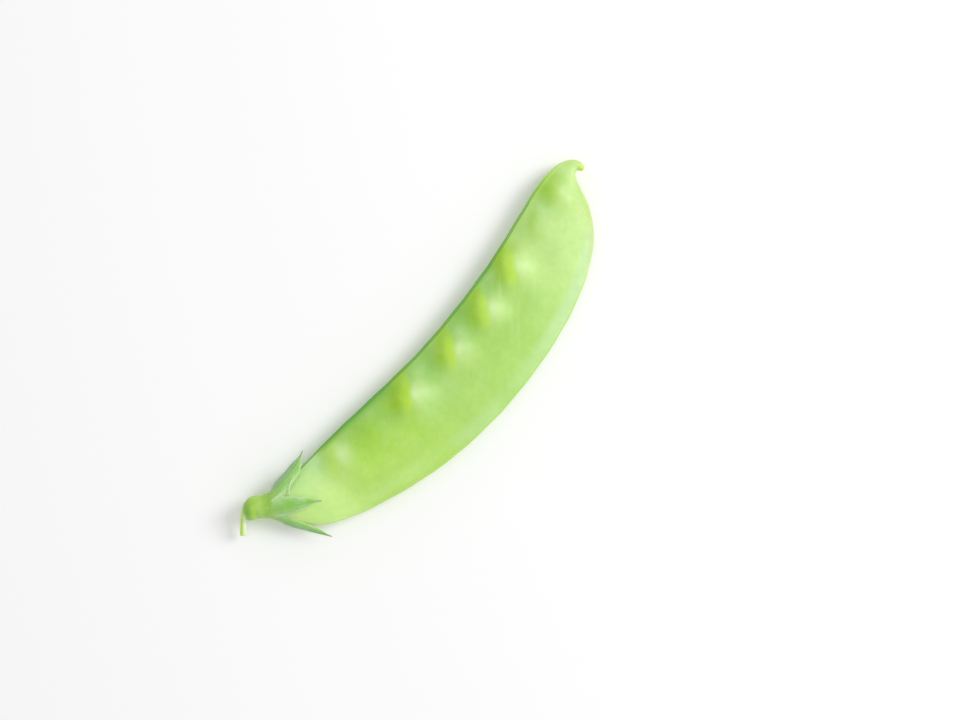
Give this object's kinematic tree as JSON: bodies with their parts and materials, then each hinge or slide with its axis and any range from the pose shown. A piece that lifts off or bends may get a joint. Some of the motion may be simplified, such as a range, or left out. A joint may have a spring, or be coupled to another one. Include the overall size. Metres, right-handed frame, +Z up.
{
  "type": "snow pea pod",
  "caption": "Flat snow pea pod as picked, lying on one side, with its calyx of pointed sepals, its withered stamen threads and a short bent stalk.",
  "frame": {"origin": "on the surface that the pod lies on, under the middle of its bounding box", "axes": "+X along the pod from its stalk to its beak, +Y towards the seed suture, which is the nearly straight edge, +Z up out of the surface"},
  "size_m": [0.0924, 0.0238, 0.0065],
  "materials": {
    "pod_skin": "smooth waxy pale green pod skin, slightly translucent",
    "stalk_skin": "smooth yellow-green stem skin",
    "calyx_leaf": "thin blue-green leaf with fine veins",
    "dry_thread": "pale dry plant thread"
  },
  "bodies": {
    "root": {"pod": "pod_skin", "stalk": "stalk_skin", "calyx_tube": "calyx_leaf", "sepal_suture_top": "calyx_leaf", "sepal_side_top": "calyx_leaf", "sepal_belly": "calyx_leaf", "sepal_side_under": "calyx_leaf", "sepal_suture_under": "calyx_leaf", "stamen_near_suture": "dry_thread", "stamen_middle": "dry_thread", "stamen_near_belly": "dry_thread"}
  },
  "joints": []
}
